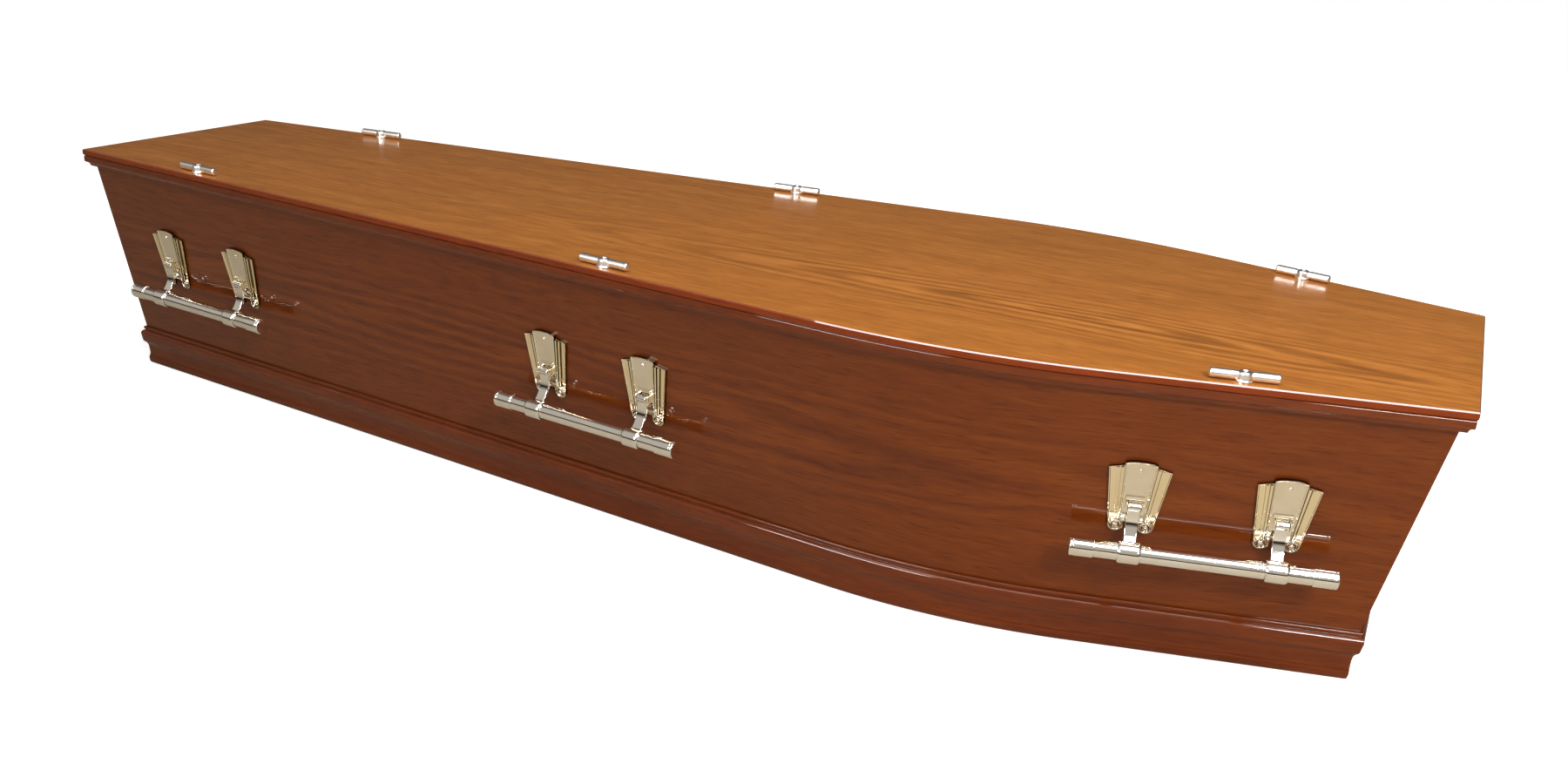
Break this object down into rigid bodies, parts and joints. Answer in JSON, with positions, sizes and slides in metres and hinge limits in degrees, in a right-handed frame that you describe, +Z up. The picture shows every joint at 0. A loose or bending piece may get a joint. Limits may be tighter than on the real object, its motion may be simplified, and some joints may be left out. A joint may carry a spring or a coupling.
{
  "type": "wooden coffin",
  "caption": "Closed shouldered wooden coffin with rounded shoulders, moulded plinth, flat screwed lid and swing bar handles",
  "frame": {"origin": "centre of the overall box on the ground, under the middle of the base board", "axes": "+X from the foot to the head, +Y to the far side, +Z up; the side that the picture shows is at -Y"},
  "size_m": [1.98, 0.6694, 0.3654],
  "materials": {
    "side_veneer": "gloss lacquered red-brown veneer",
    "lid_veneer": "gloss lacquered orange-brown veneer",
    "moulding": "gloss lacquered dark red-brown",
    "bare_wood": "unfinished board",
    "warm_metal": "bright plated, warm tone",
    "white_metal": "bright plated"
  },
  "bodies": {
    "coffin": {"side_board_near": "side_veneer", "side_board_far": "side_veneer", "foot_board": "side_veneer", "head_board": "side_veneer", "base_board": "bare_wood", "plinth_near": "moulding", "plinth_far": "moulding", "plinth_foot": "moulding", "plinth_head": "moulding", "lid_moulding_near": "moulding", "lid_moulding_far": "moulding", "lid_moulding_foot": "moulding", "lid_moulding_head": "moulding", "lid_board": "lid_veneer", "lid_screw_near_foot": "white_metal", "lid_screw_near_middle": "white_metal", "lid_screw_near_head": "white_metal", "lid_screw_far_foot": "white_metal", "lid_screw_far_middle": "white_metal", "lid_screw_far_head": "white_metal", "handle_near_foot_plate_foot": "warm_metal", "handle_near_foot_plate_head": "warm_metal", "handle_near_middle_plate_foot": "warm_metal", "handle_near_middle_plate_head": "warm_metal", "handle_near_head_plate_foot": "warm_metal", "handle_near_head_plate_head": "warm_metal", "handle_far_foot_plate_foot": "warm_metal", "handle_far_foot_plate_head": "warm_metal", "handle_far_middle_plate_foot": "warm_metal", "handle_far_middle_plate_head": "warm_metal", "handle_far_head_plate_foot": "warm_metal", "handle_far_head_plate_head": "warm_metal"},
    "handle_near_foot": {"handle_near_foot_bar": "white_metal", "handle_near_foot_arm_foot": "white_metal", "handle_near_foot_arm_head": "white_metal"},
    "handle_near_middle": {"handle_near_middle_bar": "white_metal", "handle_near_middle_arm_foot": "white_metal", "handle_near_middle_arm_head": "white_metal"},
    "handle_near_head": {"handle_near_head_bar": "white_metal", "handle_near_head_arm_foot": "white_metal", "handle_near_head_arm_head": "white_metal"},
    "handle_far_foot": {"handle_far_foot_bar": "white_metal", "handle_far_foot_arm_foot": "white_metal", "handle_far_foot_arm_head": "white_metal"},
    "handle_far_middle": {"handle_far_middle_bar": "white_metal", "handle_far_middle_arm_foot": "white_metal", "handle_far_middle_arm_head": "white_metal"},
    "handle_far_head": {"handle_far_head_bar": "white_metal", "handle_far_head_arm_foot": "white_metal", "handle_far_head_arm_head": "white_metal"}
  },
  "joints": [
    {"name": "handle_near_foot_swing", "type": "hinge", "parent": "coffin", "child": "handle_near_foot", "pos_m": [-0.76431, -0.18975, 0.19389], "axis": [-0.9943, 0.1064, 0], "range_deg": [0, 75]},
    {"name": "handle_near_middle_swing", "type": "hinge", "parent": "coffin", "child": "handle_near_middle", "pos_m": [-0.02031, -0.26934, 0.19389], "axis": [-0.9943, 0.1064, 0], "range_deg": [0, 75]},
    {"name": "handle_near_head_swing", "type": "hinge", "parent": "coffin", "child": "handle_near_head", "pos_m": [0.75347, -0.24623, 0.19389], "axis": [-0.9659, -0.2588, 0], "range_deg": [0, 75]},
    {"name": "handle_far_foot_swing", "type": "hinge", "parent": "coffin", "child": "handle_far_foot", "pos_m": [-0.76431, 0.18975, 0.19389], "axis": [0.9943, 0.1064, 0], "range_deg": [0, 75]},
    {"name": "handle_far_middle_swing", "type": "hinge", "parent": "coffin", "child": "handle_far_middle", "pos_m": [-0.02031, 0.26934, 0.19389], "axis": [0.9943, 0.1064, 0], "range_deg": [0, 75]},
    {"name": "handle_far_head_swing", "type": "hinge", "parent": "coffin", "child": "handle_far_head", "pos_m": [0.75347, 0.24623, 0.19389], "axis": [0.9659, -0.2588, 0], "range_deg": [0, 75]}
  ]
}
